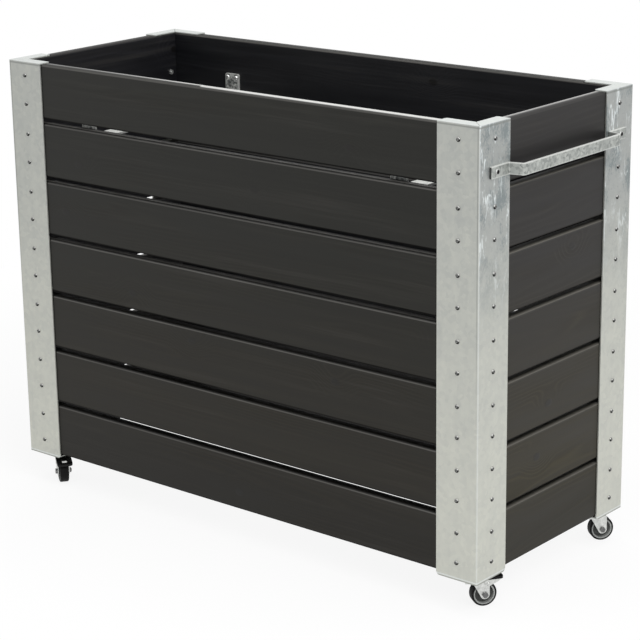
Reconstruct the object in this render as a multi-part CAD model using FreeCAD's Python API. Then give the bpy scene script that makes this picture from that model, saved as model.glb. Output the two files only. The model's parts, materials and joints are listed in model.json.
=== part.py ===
import FreeCAD, Part
import math
import os

# Rolling planter: a tall open-bottomed trough of dark painted boards, held at its corners by
# folded galvanised posts.  Each post stands on a swivel caster, the two front ones braked.
# Two flat-bar ties hold the long walls together and carry the planting trays.
# Millimetres, +Z up, +X along the length, front at -Y, origin on the floor under the centre.

# ---- driving dimensions ---------------------------------------------------------------
planter_length = 1200.0     # over the outer faces of the posts, X
planter_width = 500.0       # over the outer faces of the posts, Y
caster_height = 68.0        # floor to the underside of the foot plates

board_count = 7
board_height = 112.0
board_gap = 11.2
board_thickness = 26.0
board_edge_radius = 4.0
board_end_gap = 0.5         # board ends to the post or to the wall they meet
board_lift = 8.3            # underside of the foot plate to the lowest board

post_sheet = 2.5
post_bend_radius = 3.0      # outside of the vertical fold
long_flange = 93.0
short_flange = 92.0
flange_corner_radius = 8.0
lip_corner_radius = 5.0
fold_slit = 0.8             # open joint where two folded edges meet
foot_plate_length = 88.0
foot_plate_width = 87.0
foot_plate_corner = 12.0

screw_inset = 46.5          # from the outer corner of the post
screw_spacing = 59.6        # between the two screws of one board
screw_shank_radius = 2.0
screw_head_radius = 4.5
screw_head_height = 2.4
screw_head_crown = 2.5      # radius of the flat on top of the dome
screw_head_rim = 0.7        # height of the head's straight side
screw_length = 22.0
screw_tip = 3.0
screw_clearance = 0.3       # radial, in sheet metal and flat bar

bolt_radius = 3.0
bolt_clearance = 0.3        # radial
bolt_head_radius = 5.5
bolt_head_height = 3.0
bolt_head_crown = 2.8       # radius of the flat on top of the dome
bolt_head_rim = 1.0         # height of the head's straight side
bolt_end = 1.0              # thread left beyond a nut
nut_flats = 10.0
nut_height = 3.2

handle_thickness = 4.0
handle_bar_height = 22.0
handle_foot_length = 58.0
handle_bolt_margin = 17.5   # end of the foot to its bolt
handle_leg_run = 7.0        # sloping leg, measured along the wall
handle_finger_gap = 28.0    # post to the back of the grip
handle_bend_radius = 2.0    # inside of a bend
handle_foot_radius = 1.5    # sheared corners of the bar, eased

tie_width = 38.0
tie_thickness = 4.0
tie_inset = 200.0           # outer faces of the posts to the middle of a tie
tie_web_below_top = 144.0   # top of the post to the upper face of the web
tie_foot_height = 67.0      # web to the top of an upturned end
tie_bend_radius = 5.0
tie_corner_radius = 4.0
tie_screw_margin = 8.0      # top of the upturned end to its screws
tie_screw_spacing = 24.0

caster_inset = 46.0         # outer faces of the post to the swivel axis
plate_side = 58.0
plate_thickness = 2.5
plate_corner_radius = 5.0
plate_hole_spacing = 41.0
plate_slot = 3.0            # play of the slotted bolt holes, along the planter
race_radius = 15.0          # fixed race, inside the turning cup
race_depth = 7.6
race_clearance = 0.4
race_chamfer = 1.5
kingpin_radius = 4.0
kingpin_head_radius = 7.0
kingpin_head_height = 2.6
kingpin_head_chamfer = 1.2
kingpin_head_gap = 0.3      # under the fork
running_clearance = 0.05    # radial, shafts and pins that turn

fork_sheet = 2.0
fork_bend_radius = 3.0
cup_wall = 3.6
cup_depth = 6.0
cup_chamfer = 1.0
fork_wheel_gap = 1.7        # tread side to the inside of a fork leg
fork_front = -15.0          # reach of the fork from the swivel axis
fork_rear = 33.0
fork_skirt = 4.5            # depth of the fork's edge in front of the legs
fork_leg_start = 1.0
fork_axle_boss_radius = 9.0
fork_rear_chamfer = 3.0

wheel_radius = 25.0
wheel_width = 19.0
wheel_trail = 24.0          # swivel axis to axle
tyre_depth = 3.8
tyre_shoulder = 2.4
rim_wall = 3.2
rim_inset = 0.6             # rim edge behind the tyre's side
web_thickness = 5.0
hub_radius = 8.0
hub_side_gap = 0.4          # hub to fork leg
hub_chamfer = 1.0
rim_draft = 0.6             # taper of the rim's inner face, to leave the mould

axle_radius = 3.0
axle_head_flats = 10.0
axle_head_height = 4.0

brake_sheet = 1.7
brake_bend_radius = 2.5
brake_side_gap = 0.3        # fork leg to brake cheek
brake_top_gap = 1.4         # top of the fork to the brake lever
brake_front = 21.5
brake_rear = 57.0
brake_pivot_along = 29.0    # from the swivel axis
brake_pivot_below_fork = 8.5
brake_pivot_radius = 2.5
brake_rivet_head_radius = 3.6
brake_rivet_head_height = 1.0
brake_rivet_crown = 2.2     # radius of the flat on top of the rivet
brake_rivet_gap = 0.2       # under the rivet head
brake_boss_radius = 5.0
brake_cheek_depth = 8.6     # lever top to the lower edge of a cheek at the rear
brake_cheek_taper = 8.0     # length of the slope at the rear of a cheek
brake_cheek_end = 1.0       # height of a cheek below the sheet at its two ends
brake_shoe_along = 40.0
brake_shoe_thickness = 2.0
brake_shoe_reach = 10.6     # lever top to the lower edge of the shoe
brake_travel = 16.0         # degrees, from off to on
pedal_front = 27.0
pedal_top = 2.0
pedal_side = 1.5
pedal_lap = 3.1             # how far the sides cover the lever
pedal_end = 2.5
pedal_corner_radius = 5.0
pedal_groove_width = 1.6
pedal_groove_depth = 0.7
pedal_groove_pitch = 6.0
pedal_groove_count = 4
pedal_window_length = 8.5
pedal_window_width = 11.0
pedal_window_margin = 5.0   # window to the rear end of the lever
pedal_window_radius = 1.5

# Each caster trails in its own direction, in degrees from +X, as it was last rolled.
caster_setting = {
    "front_left": {"side": (-1, -1), "heading": -35.0, "brake": "on"},
    "front_right": {"side": (1, -1), "heading": 55.0, "brake": "off"},
    "back_left": {"side": (-1, 1), "heading": 165.0, "brake": None},
    "back_right": {"side": (1, 1), "heading": 52.0, "brake": None},
}

# ---- derived places -------------------------------------------------------------------
half_length = planter_length / 2
half_width = planter_width / 2
board_pitch = board_height + board_gap
stack_height = board_count * board_pitch - board_gap
post_bottom = caster_height
boards_bottom = post_bottom + board_lift
boards_top = boards_bottom + stack_height
post_top = boards_top + post_sheet
wall_outer_x = half_length - post_sheet
wall_outer_y = half_width - post_sheet
wall_inner_x = wall_outer_x - board_thickness
wall_inner_y = wall_outer_y - board_thickness
lip_depth = post_sheet + board_thickness
top_board_middle = boards_top - board_height / 2
handle_z = top_board_middle - screw_spacing / 2     # bolted in place of a wood screw
handle_bolt_y = half_width - screw_inset
tie_web_top = post_top - tie_web_below_top
tie_x = half_length - tie_inset
tie_screw_z = tie_web_top + tie_foot_height - tie_screw_margin
swivel_x = half_length - caster_inset
swivel_y = half_width - caster_inset

# Caster levels, measured down from the underside of the foot plate.
race_bottom = -plate_thickness - race_depth
cup_floor = race_bottom - race_clearance
fork_top = cup_floor - fork_sheet
fork_underside = fork_top - fork_sheet
axle_level = wheel_radius - caster_height
fork_inner = wheel_width / 2 + fork_wheel_gap
fork_outer = fork_inner + fork_sheet
brake_top = fork_top + brake_top_gap + brake_sheet
brake_inner = fork_outer + brake_side_gap
brake_outer = brake_inner + brake_sheet
brake_pivot_level = fork_top - brake_pivot_below_fork

X = FreeCAD.Vector(1, 0, 0)
Y = FreeCAD.Vector(0, 1, 0)
Z = FreeCAD.Vector(0, 0, 1)
ORIGIN = FreeCAD.Vector(0, 0, 0)

os.makedirs("parts", exist_ok=True)


def save(name, shapes):
    """Write one node: a single solid, or several identical ones as a group."""
    shape = shapes if not isinstance(shapes, list) else Part.makeCompound(shapes)
    shape.exportStep("parts/" + name + ".step")


def block(x0, x1, y0, y1, z0, z1):
    """Box between two opposite corners, given in any order."""
    low = FreeCAD.Vector(min(x0, x1), min(y0, y1), min(z0, z1))
    return Part.makeBox(abs(x1 - x0), abs(y1 - y0), abs(z1 - z0), low)


def rod(radius, start, axis, length):
    return Part.makeCylinder(radius, length, start, axis)


def prism(points, direction):
    """Extruded polygon."""
    wire = Part.makePolygon(points + [points[0]])
    return Part.Face(wire).extrude(direction)


def hexagon(flats, start, axis, length):
    """Hexagonal prism, for nuts and bolt heads."""
    across = flats / math.sqrt(3)
    side = FreeCAD.Rotation(Z, axis)
    corners = []
    for step in range(6):
        angle = math.radians(60 * step)
        corner = FreeCAD.Vector(across * math.cos(angle), across * math.sin(angle), 0)
        corners.append(start + side.multVec(corner))
    return prism(corners, axis * length)


def turned(profile, start, axis):
    """Solid of revolution from (radius, height) points, its height running along axis."""
    points = [FreeCAD.Vector(radius, 0, height) for radius, height in profile]
    wire = Part.makePolygon(points + [points[0]])
    solid = Part.Face(wire).revolve(ORIGIN, Z, 360)
    solid.Placement = FreeCAD.Placement(start, FreeCAD.Rotation(Z, axis))
    return solid


def rounded(shape, radius, along, chosen):
    """Fillet the straight edges that run along a direction and pass the test at both ends."""
    edges = []
    for edge in shape.Edges:
        ends = [vertex.Point for vertex in edge.Vertexes]
        if len(ends) == 2 and chosen(ends[0]) and chosen(ends[1]):
            if near(along.cross(ends[1] - ends[0]).Length, 0):
                edges.append(edge)
    return shape.makeFillet(radius, edges)


def near(value, target):
    return abs(value - target) < 1e-4


def in_corner(shape, side_x, side_y):
    """Mirror a shape made for the back right corner into another corner."""
    if side_x < 0:
        shape = shape.mirror(ORIGIN, X)
    if side_y < 0:
        shape = shape.mirror(ORIGIN, Y)
    return shape


# ---- walls ----------------------------------------------------------------------------
def board_bottom(number):
    """Underside of a board, number 1 being the top one."""
    return boards_top - board_height - (number - 1) * board_pitch


def screw_levels():
    """Heights of the two screws of each board, from the top down."""
    levels = []
    for number in range(1, board_count + 1):
        middle = board_bottom(number) + board_height / 2
        levels.append(middle + screw_spacing / 2)
        levels.append(middle - screw_spacing / 2)
    return levels


def long_board(side, number):
    """Board of the front or back wall, running from post to post."""
    low = board_bottom(number)
    reach = wall_outer_x - board_end_gap
    board = block(-reach, reach, side * wall_inner_y, side * wall_outer_y,
                  low, low + board_height)
    edges = [edge for edge in board.Edges if near(edge.Length, 2 * reach)]
    return board.makeFillet(board_edge_radius, edges)


def short_board(side, number):
    """Board of an end wall, between the two long walls."""
    low = board_bottom(number)
    reach = wall_inner_y - board_end_gap
    board = block(side * wall_inner_x, side * wall_outer_x, -reach, reach,
                  low, low + board_height)
    edges = [edge for edge in board.Edges if near(edge.Length, 2 * reach)]
    board = board.makeFillet(board_edge_radius, edges)
    if low < handle_z < low + board_height:
        for bolt_y in (-handle_bolt_y, handle_bolt_y):
            start = FreeCAD.Vector(side * wall_inner_x, bolt_y, handle_z)
            hole = rod(bolt_radius + bolt_clearance, start, X * side, board_thickness)
            board = board.cut(hole)
    return board


for number in range(1, board_count + 1):
    save("front_board_%d" % number, long_board(-1, number))
    save("back_board_%d" % number, long_board(1, number))
    save("left_board_%d" % number, short_board(-1, number))
    save("right_board_%d" % number, short_board(1, number))


# ---- corner posts ---------------------------------------------------------------------
def behind_handle(level):
    """The short flange has no wood screw where the handle's foot covers it."""
    reach = handle_bar_height / 2 + screw_head_radius
    return abs(level - handle_z) < reach


def plate_hole_places():
    """The four bolts of a caster plate, from the swivel axis."""
    half = plate_hole_spacing / 2
    return [(-half, -half), (half, -half), (half, half), (-half, half)]


def post_holes():
    """Everything drilled through a post, as one compound of cylinders."""
    hole_radius = screw_shank_radius + screw_clearance
    depth = post_sheet * 2
    long_x = half_length - screw_inset
    short_y = half_width - screw_inset
    holes = []
    for level in screw_levels():
        start = FreeCAD.Vector(long_x, half_width + post_sheet / 2, level)
        holes.append(rod(hole_radius, start, -Y, depth))
        if not behind_handle(level):
            start = FreeCAD.Vector(half_length + post_sheet / 2, short_y, level)
            holes.append(rod(hole_radius, start, -X, depth))
    start = FreeCAD.Vector(half_length + post_sheet / 2, handle_bolt_y, handle_z)
    holes.append(rod(bolt_radius + bolt_clearance, start, -X, depth))
    for hole_x, hole_y in plate_hole_places():
        start = FreeCAD.Vector(swivel_x + hole_x, swivel_y + hole_y, post_bottom - post_sheet / 2)
        holes.append(rod(bolt_radius + bolt_clearance, start, Z, depth))
    start = FreeCAD.Vector(swivel_x, swivel_y, post_bottom - post_sheet / 2)
    holes.append(rod(kingpin_radius + bolt_clearance, start, Z, depth))
    return Part.makeCompound(holes)


def corner_post():
    """Folded sheet post of the back right corner: two flanges, two lips and a foot plate."""
    x_end = half_length - long_flange
    y_end = half_width - short_flange
    outline = [(half_length, half_width), (x_end, half_width),
               (x_end, wall_outer_y), (wall_outer_x, wall_outer_y),
               (wall_outer_x, y_end), (half_length, y_end)]
    points = [FreeCAD.Vector(x, y, post_bottom) for x, y in outline]
    post = prism(points, Z * (post_top - post_bottom))
    post = rounded(post, post_bend_radius, Z,
                   lambda p: near(p.x, half_length) and near(p.y, half_width))
    post = rounded(post, post_bend_radius - post_sheet, Z,
                   lambda p: near(p.x, wall_outer_x) and near(p.y, wall_outer_y))
    post = rounded(post, flange_corner_radius, Y,
                   lambda p: near(p.z, post_bottom) and near(p.x, x_end))
    post = rounded(post, flange_corner_radius, X,
                   lambda p: near(p.z, post_bottom) and near(p.y, y_end))

    # Lips folded in over the ends of the top boards, mitred at the corner.
    lip_low = post_top - post_sheet
    lip_x = block(x_end, wall_outer_x, wall_outer_y, half_width - lip_depth, lip_low, post_top)
    lip_x = rounded(lip_x, lip_corner_radius, Z,
                    lambda p: near(p.x, x_end) and near(p.y, half_width - lip_depth))
    lip_y = block(wall_outer_x, half_length - lip_depth, y_end, wall_outer_y, lip_low, post_top)
    lip_y = rounded(lip_y, lip_corner_radius, Z,
                    lambda p: near(p.y, y_end) and near(p.x, half_length - lip_depth))
    post = post.fuse([lip_x, lip_y])
    slit_start = post_bend_radius
    slit_end = lip_depth * math.sqrt(2) + fold_slit
    slit = block(-slit_end, -slit_start, -fold_slit / 2, fold_slit / 2,
                 lip_low - post_sheet, post_top + post_sheet)
    slit.Placement = FreeCAD.Placement(FreeCAD.Vector(half_length, half_width, 0),
                                       FreeCAD.Rotation(Z, 45))
    post = post.cut(slit)

    # Foot plate folded in from the long flange, free along the short one.
    plate_x1 = wall_outer_x - fold_slit
    plate_x0 = half_length - foot_plate_length
    plate_y0 = half_width - foot_plate_width
    plate = block(plate_x0, plate_x1, plate_y0, wall_outer_y,
                  post_bottom, post_bottom + post_sheet)
    plate = rounded(plate, foot_plate_corner, Z,
                    lambda p: near(p.y, plate_y0) and near(p.x, plate_x0))
    post = post.fuse(plate).cut(post_holes())
    return post.removeSplitter()


back_right_post = corner_post()
for name, setting in caster_setting.items():
    save("corner_post_" + name, in_corner(back_right_post, *setting["side"]))


# ---- fasteners ------------------------------------------------------------------------
def wood_screw(seat, axis):
    """Dome-headed screw, its head standing on seat and its shank running along axis."""
    profile = [(0, -screw_head_height), (screw_head_crown, -screw_head_height),
               (screw_head_radius, -screw_head_rim), (screw_head_radius, 0),
               (screw_shank_radius, 0), (screw_shank_radius, screw_length - screw_tip),
               (0, screw_length)]
    return turned(profile, seat, axis)


def bolt(seat, axis, grip):
    """Dome-headed bolt through a stack of thickness grip, with its nut on the far side."""
    head = turned([(0, -bolt_head_height), (bolt_head_crown, -bolt_head_height),
                   (bolt_head_radius, -bolt_head_rim), (bolt_head_radius, 0), (0, 0)],
                  seat, axis)
    shank = rod(bolt_radius, seat, axis, grip + nut_height + bolt_end)
    nut = hexagon(nut_flats, seat + axis * grip, axis, nut_height)
    return head.fuse([shank, nut])


screws = []
for side_x, side_y in ((-1, -1), (1, -1), (-1, 1), (1, 1)):
    for level in screw_levels():
        seat = FreeCAD.Vector(side_x * (half_length - screw_inset), side_y * half_width, level)
        screws.append(wood_screw(seat, Y * -side_y))
        if not behind_handle(level):
            seat = FreeCAD.Vector(side_x * half_length, side_y * (half_width - screw_inset), level)
            screws.append(wood_screw(seat, X * -side_x))
    for offset in (-tie_screw_spacing / 2, tie_screw_spacing / 2):
        seat = FreeCAD.Vector(side_x * tie_x + offset,
                              side_y * (wall_inner_y - tie_thickness), tie_screw_z)
        screws.append(wood_screw(seat, Y * side_y))
save("wood_screws", screws)

bolts = []
for side_x, side_y in ((-1, -1), (1, -1), (-1, 1), (1, 1)):
    seat = FreeCAD.Vector(side_x * (half_length + handle_thickness), side_y * handle_bolt_y,
                          handle_z)
    bolts.append(bolt(seat, X * -side_x, handle_thickness + post_sheet + board_thickness))
    for hole_x, hole_y in plate_hole_places():
        seat = FreeCAD.Vector(side_x * swivel_x + hole_x, side_y * swivel_y + hole_y,
                              post_bottom - plate_thickness)
        bolts.append(bolt(seat, Z, plate_thickness + post_sheet))
save("frame_bolts", bolts)


# ---- handles and ties -----------------------------------------------------------------
def handle():
    """Flat bar bent outwards between its two feet, for the right-hand end."""
    back = half_length
    grip = back + handle_finger_gap
    end_y = handle_bolt_y + handle_bolt_margin
    foot_y = end_y - handle_foot_length
    bar_y = foot_y - handle_leg_run
    slope = math.atan2(handle_finger_gap, handle_leg_run)
    shift = handle_thickness * math.tan(slope / 2)
    half = [(back, end_y), (back, foot_y), (grip, bar_y)]
    outer = [(back + handle_thickness, end_y), (back + handle_thickness, foot_y + shift),
             (grip + handle_thickness, bar_y + shift)]
    outline = half + [(x, -y) for x, y in reversed(half)]
    outline += [(x, -y) for x, y in outer] + list(reversed(outer))
    low = handle_z - handle_bar_height / 2
    bar = prism([FreeCAD.Vector(x, y, low) for x, y in outline], Z * handle_bar_height)
    bar = rounded(bar, handle_bend_radius, Z,
                  lambda p: near(abs(p.y), foot_y + shift) or near(abs(p.y), bar_y))
    bar = rounded(bar, handle_bend_radius + handle_thickness, Z,
                  lambda p: near(abs(p.y), foot_y) or near(abs(p.y), bar_y + shift))
    bar = rounded(bar, handle_foot_radius, X, lambda p: near(abs(p.y), end_y)
                  and (near(p.z, low) or near(p.z, low + handle_bar_height)))
    for bolt_y in (-handle_bolt_y, handle_bolt_y):
        start = FreeCAD.Vector(back, bolt_y, handle_z)
        bar = bar.cut(rod(bolt_radius + bolt_clearance, start, X, handle_thickness))
    return bar


right_handle = handle()
save("handle_right", right_handle)
save("handle_left", right_handle.mirror(ORIGIN, X))


def tie(side):
    """Flat bar across the planter, its ends turned up against the long walls."""
    low = tie_web_top - tie_thickness
    high = tie_web_top + tie_foot_height
    out = wall_inner_y
    inn = wall_inner_y - tie_thickness
    outline = [(-out, high), (-out, low), (out, low), (out, high),
               (inn, high), (inn, tie_web_top), (-inn, tie_web_top), (-inn, high)]
    x0 = side * tie_x - tie_width / 2
    bar = prism([FreeCAD.Vector(x0, y, z) for y, z in outline], X * tie_width)
    bar = rounded(bar, tie_bend_radius, X, lambda p: near(p.z, tie_web_top))
    bar = rounded(bar, tie_bend_radius + tie_thickness, X,
                  lambda p: near(abs(p.y), out) and near(p.z, low))
    bar = rounded(bar, tie_corner_radius, Y, lambda p: near(p.z, high)
                  and (near(p.x, x0) or near(p.x, x0 + tie_width)))
    holes = []
    for side_y in (-1, 1):
        for offset in (-tie_screw_spacing / 2, tie_screw_spacing / 2):
            start = FreeCAD.Vector(x0 + tie_width / 2 + offset, side_y * inn, tie_screw_z)
            holes.append(rod(screw_shank_radius + screw_clearance, start, Y * side_y,
                             tie_thickness))
    return bar.cut(Part.makeCompound(holes))


save("tie_left", tie(-1))
save("tie_right", tie(1))


# ---- casters --------------------------------------------------------------------------
# Each caster is made about its own swivel axis, trailing towards +X, with its mounting
# face at height 0, and then turned to its heading and set under its post.
def placed(shape, name):
    side_x, side_y = caster_setting[name]["side"]
    shape = shape.copy()
    shape.rotate(ORIGIN, Z, caster_setting[name]["heading"])
    shape.translate(FreeCAD.Vector(side_x * swivel_x, side_y * swivel_y, post_bottom))
    return shape


def top_plate():
    """Mounting plate with the fixed race pressed out below it."""
    half = plate_side / 2
    plate = block(-half, half, -half, half, -plate_thickness, 0)
    plate = plate.makeFillet(plate_corner_radius,
                             [edge for edge in plate.Edges if near(edge.Length, plate_thickness)])
    race = turned([(kingpin_radius, -plate_thickness), (race_radius, -plate_thickness),
                   (race_radius, race_bottom + race_chamfer),
                   (race_radius - race_chamfer, race_bottom),
                   (kingpin_radius, race_bottom)], ORIGIN, Z)
    plate = plate.fuse(race)
    holes = [rod(kingpin_radius, ORIGIN, -Z, plate_thickness)]
    radius = bolt_radius + bolt_clearance
    for hole_x, hole_y in plate_hole_places():
        start = hole_x - plate_slot / 2
        end = hole_x + plate_slot / 2
        ends = [rod(radius, FreeCAD.Vector(x, hole_y, 0), -Z, plate_thickness)
                for x in (start, end)]
        middle = block(start, end, hole_y - radius, hole_y + radius, -plate_thickness, 0)
        holes.append(middle.fuse(ends))
    return plate.cut(holes)


def kingpin():
    """Rivet that holds the fork to the plate, peened flush above and headed below."""
    head_top = fork_underside - kingpin_head_gap
    head_low = head_top - kingpin_head_height
    return turned([(0, 0), (kingpin_radius, 0), (kingpin_radius, head_top),
                   (kingpin_head_radius, head_top),
                   (kingpin_head_radius, head_low + kingpin_head_chamfer),
                   (kingpin_head_radius - kingpin_head_chamfer, head_low), (0, head_low)],
                  ORIGIN, Z)


def channel(half_outer, sheet, bend, top, low, start, end):
    """Inverted U of sheet running along X."""
    half_inner = half_outer - sheet
    outline = [(-half_outer, low), (-half_outer, top), (half_outer, top), (half_outer, low),
               (half_inner, low), (half_inner, top - sheet), (-half_inner, top - sheet),
               (-half_inner, low)]
    body = prism([FreeCAD.Vector(start, y, z) for y, z in outline], X * (end - start))
    body = rounded(body, bend, X, lambda p: near(p.z, top))
    return rounded(body, bend - sheet, X, lambda p: near(p.z, top - sheet))


def side_profile(edges, half_width_y):
    """Solid that trims a channel to its side view."""
    face = Part.Face(Part.Wire(edges))
    solid = face.extrude(Y * (2 * half_width_y))
    solid.translate(Y * -half_width_y)
    return solid


def tangent_on_circle(point, centre, radius, side):
    """Where the line from point touches a circle, both in the XZ plane."""
    to_centre = centre - point
    distance = to_centre.Length
    turn = math.acos(radius / distance) * side
    back = math.atan2(-to_centre.z, -to_centre.x) + turn
    return centre + FreeCAD.Vector(math.cos(back), 0, math.sin(back)) * radius


def fork(braked):
    """Pressed fork: turning cup on top, tapering legs that trail down to the axle."""
    body = channel(fork_outer, fork_sheet, fork_bend_radius, fork_top,
                   axle_level - fork_axle_boss_radius, fork_front, fork_rear)
    axle = FreeCAD.Vector(wheel_trail, 0, axle_level)
    front_top = FreeCAD.Vector(fork_front, 0, fork_top)
    front_low = FreeCAD.Vector(fork_front, 0, fork_top - fork_skirt)
    leg_start = FreeCAD.Vector(fork_leg_start, 0, fork_top - fork_skirt - fork_sheet)
    touch = tangent_on_circle(leg_start, axle, fork_axle_boss_radius, 1)
    lowest = axle - Z * fork_axle_boss_radius
    rear_low = axle + X * fork_axle_boss_radius
    rear_high = FreeCAD.Vector(rear_low.x, 0, fork_top - fork_rear_chamfer)
    rear_top = FreeCAD.Vector(rear_low.x - fork_rear_chamfer, 0, fork_top)
    edges = [Part.makeLine(front_top, front_low), Part.makeLine(front_low, leg_start),
             Part.makeLine(leg_start, touch), Part.Arc(touch, lowest, rear_low).toShape(),
             Part.makeLine(rear_low, rear_high), Part.makeLine(rear_high, rear_top),
             Part.makeLine(rear_top, front_top)]
    body = body.common(side_profile(edges, fork_outer + fork_sheet))
    cup_inner = race_radius + race_clearance
    cup_outer = cup_inner + cup_wall
    cup_top = fork_top + cup_depth
    cup = turned([(0, fork_top - fork_sheet), (fork_outer, fork_top - fork_sheet),
                  (cup_outer, fork_top), (cup_outer, cup_top - cup_chamfer),
                  (cup_outer - cup_chamfer, cup_top),
                  (cup_inner, cup_top), (cup_inner, cup_floor), (0, cup_floor)], ORIGIN, Z)
    bore = rod(kingpin_radius + running_clearance, Z * fork_underside, Z,
               cup_floor - fork_underside)
    axle_hole = rod(axle_radius, FreeCAD.Vector(wheel_trail, -fork_outer, axle_level), Y,
                    2 * fork_outer)
    body = body.fuse(cup).cut([bore, axle_hole])
    if braked:
        seat = brake_outer - fork_outer + brake_rivet_gap
        top = seat + brake_rivet_head_height
        profile = [(0, 0), (brake_pivot_radius, 0), (brake_pivot_radius, seat),
                   (brake_rivet_head_radius, seat), (brake_rivet_crown, top), (0, top)]
        rivets = []
        for side in (-1, 1):
            start = FreeCAD.Vector(brake_pivot_along, side * fork_outer, brake_pivot_level)
            rivets.append(turned(profile, start, Y * side))
        body = body.fuse(rivets)
    return body.removeSplitter()


def axle():
    """Axle bolt and nut, clamped across the fork legs."""
    start = FreeCAD.Vector(wheel_trail, -fork_outer, axle_level)
    shank = rod(axle_radius, start - Y * axle_head_height, Y,
                2 * fork_outer + 2 * axle_head_height + bolt_end)
    head = hexagon(axle_head_flats, start, -Y, axle_head_height)
    nut = hexagon(axle_head_flats, start + Y * (2 * fork_outer), Y, axle_head_height)
    return shank.fuse([head, nut])


def wheel_core():
    """Moulded wheel centre: hub, web and rim in one piece."""
    rim_outer = wheel_radius - tyre_depth
    rim_inner = rim_outer - rim_wall
    rim_half = wheel_width / 2 - rim_inset
    web_half = web_thickness / 2
    hub_half = fork_inner - hub_side_gap
    bore = axle_radius + running_clearance
    half = [(bore, hub_half), (hub_radius - hub_chamfer, hub_half),
            (hub_radius, hub_half - hub_chamfer), (hub_radius, web_half),
            (rim_inner, web_half), (rim_inner + rim_draft, rim_half), (rim_outer, rim_half)]
    profile = half + [(radius, -height) for radius, height in reversed(half)]
    return turned(profile, FreeCAD.Vector(wheel_trail, 0, axle_level), Y)


def tyre():
    """Rubber tread bonded round the rim."""
    rim_outer = wheel_radius - tyre_depth
    half = wheel_width / 2
    corner = tyre_shoulder * (1 - math.sqrt(0.5))
    side = [(rim_outer, half), (wheel_radius - tyre_shoulder, half),
            (wheel_radius - corner, half - corner), (wheel_radius, half - tyre_shoulder)]
    profile = side + [(radius, -height) for radius, height in reversed(side)]
    return turned(profile, FreeCAD.Vector(wheel_trail, 0, axle_level), Y)


def brake_swung(shape, state):
    """Turn a brake piece down about its pivot when the brake is on."""
    if state == "on":
        pivot = FreeCAD.Vector(brake_pivot_along, 0, brake_pivot_level)
        shape.rotate(pivot, Y, brake_travel)
    return shape


def brake_window():
    """Opening through the foot end of the lever and its pad."""
    end = brake_rear - pedal_window_margin
    half = pedal_window_width / 2
    window = block(end - pedal_window_length, end, -half, half, brake_top - brake_sheet,
                   brake_top + pedal_top)
    return rounded(window, pedal_window_radius, Z, lambda p: True)


def brake_lever():
    """Pressed channel over the back of the fork, with a cross shoe above the tread."""
    cheek_low = brake_top - brake_cheek_depth
    end_low = brake_top - brake_sheet - brake_cheek_end
    body = channel(brake_outer, brake_sheet, brake_bend_radius, brake_top,
                   brake_pivot_level - brake_boss_radius, brake_front, brake_rear)
    pivot = FreeCAD.Vector(brake_pivot_along, 0, brake_pivot_level)
    front_high = FreeCAD.Vector(brake_front, 0, brake_top)
    front_mid = FreeCAD.Vector(brake_front, 0, end_low)
    front_touch = pivot - X * brake_boss_radius
    lowest = pivot - Z * brake_boss_radius
    rear_low = FreeCAD.Vector(brake_rear - brake_cheek_taper, 0, cheek_low)
    rear_touch = tangent_on_circle(rear_low, pivot, brake_boss_radius, -1)
    rear_mid = FreeCAD.Vector(brake_rear, 0, end_low)
    rear_high = FreeCAD.Vector(brake_rear, 0, brake_top)
    edges = [Part.makeLine(front_high, front_mid), Part.makeLine(front_mid, front_touch),
             Part.Arc(front_touch, lowest, rear_touch).toShape(),
             Part.makeLine(rear_touch, rear_low), Part.makeLine(rear_low, rear_mid),
             Part.makeLine(rear_mid, rear_high), Part.makeLine(rear_high, front_high)]
    body = body.common(side_profile(edges, brake_outer + brake_sheet))
    shoe = block(brake_shoe_along, brake_shoe_along + brake_shoe_thickness, -brake_inner,
                 brake_inner, brake_top - brake_shoe_reach, brake_top - brake_sheet)
    pivot_hole = rod(brake_pivot_radius + running_clearance,
                     FreeCAD.Vector(brake_pivot_along, -brake_outer, brake_pivot_level), Y,
                     2 * brake_outer)
    return body.fuse(shoe).cut([pivot_hole, brake_window()]).removeSplitter()


def brake_pedal():
    """Moulded foot pad capping the lever, grooved across for grip."""
    half = brake_outer + pedal_side
    top = brake_top + pedal_top
    end = brake_rear + pedal_end
    pad = block(pedal_front, end, -half, half, brake_top - pedal_lap, top)
    pad = rounded(pad, pedal_corner_radius, Z, lambda p: near(p.x, end)
                  and near(abs(p.y), half))
    pad = pad.cut(block(pedal_front, brake_rear, -brake_outer, brake_outer,
                        brake_top - pedal_lap, brake_top))
    grooves = []
    for step in range(pedal_groove_count):
        x = end - pedal_corner_radius - step * pedal_groove_pitch
        grooves.append(block(x - pedal_groove_width, x, -half, half, top - pedal_groove_depth, top))
    return pad.cut(Part.makeCompound(grooves)).cut(brake_window())


plates = []
for name, setting in caster_setting.items():
    side_x, side_y = setting["side"]
    under = FreeCAD.Vector(side_x * swivel_x, side_y * swivel_y, post_bottom)
    for shape in (top_plate(), kingpin()):
        shape.translate(under)
        plates.append(shape)
    braked = setting["brake"] is not None
    save("caster_%s_fork" % name, placed(fork(braked), name))
    save("caster_%s_axle" % name, placed(axle(), name))
    save("caster_%s_wheel" % name, placed(wheel_core(), name))
    save("caster_%s_tyre" % name, placed(tyre(), name))
    if braked:
        lever = brake_swung(brake_lever(), setting["brake"])
        pedal = brake_swung(brake_pedal(), setting["brake"])
        save("caster_%s_brake_lever" % name, placed(lever, name))
        save("caster_%s_brake_pedal" % name, placed(pedal, name))
save("caster_top_plates", plates)
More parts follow.
